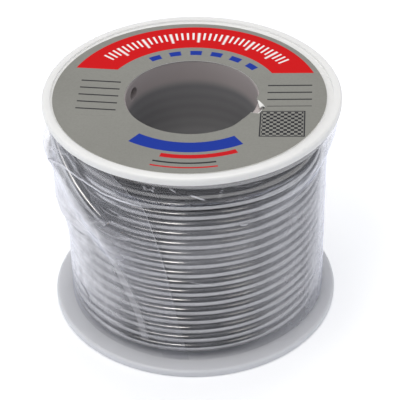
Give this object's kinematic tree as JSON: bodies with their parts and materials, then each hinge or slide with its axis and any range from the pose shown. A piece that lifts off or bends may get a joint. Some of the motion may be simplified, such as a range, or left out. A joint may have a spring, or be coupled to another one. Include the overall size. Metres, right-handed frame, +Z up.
{
  "type": "solder wire reel",
  "caption": "Full plastic reel of thick flux-cored solder wire with a plain bore, a blank round label, film wrap and a loose wire end.",
  "frame": {"origin": "centre of the bottom face, on the bore's axis", "axes": "+Z up along the bore, from the lower flange to the labelled upper flange; -Y towards the side where the film's outer end and the wire's loose end lie"},
  "size_m": [0.054, 0.054, 0.0447],
  "materials": {
    "reel_plastic": "satin, slightly translucent natural white",
    "solder": "bright drawn tin-lead wire with fine lengthwise drawing marks",
    "flux": "amber rosin",
    "label": "silver-grey printed sticker",
    "film": "clear thin stretch film with creases"
  },
  "bodies": {
    "root": {"lower_flange": "reel_plastic", "upper_flange": "reel_plastic", "hub_tube": "reel_plastic", "inner_turns": "solder", "outer_turns": "solder", "flux_core": "flux", "label": "label", "film_wrap": "film"}
  },
  "joints": []
}
